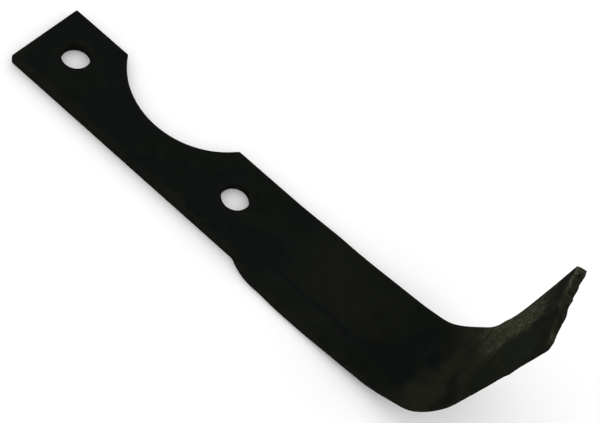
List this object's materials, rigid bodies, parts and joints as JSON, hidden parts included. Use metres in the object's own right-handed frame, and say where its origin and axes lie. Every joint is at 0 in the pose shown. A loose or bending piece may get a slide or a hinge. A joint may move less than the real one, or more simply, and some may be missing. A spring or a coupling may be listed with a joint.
{
  "type": "rotary tiller blade",
  "caption": "L-shaped rotary tiller blade of flat steel bar, with bolt holes either side of a round rotor notch and a bevelled cutting edge bent up into a slanted foot.",
  "frame": {"origin": "midway between the two bolt holes, on the flat back face that seats on the rotor flange", "axes": "+X along the shank from the square end toward the foot, +Y from the cutting edge toward the notch, +Z out of the inner face, the way the foot is bent"},
  "size_m": [0.245, 0.0607, 0.1156],
  "materials": {
    "blade_steel": "thin dark black dip paint over forged steel, satin, mottled"
  },
  "bodies": {
    "root": {"tiller_blade": "blade_steel"}
  },
  "joints": []
}
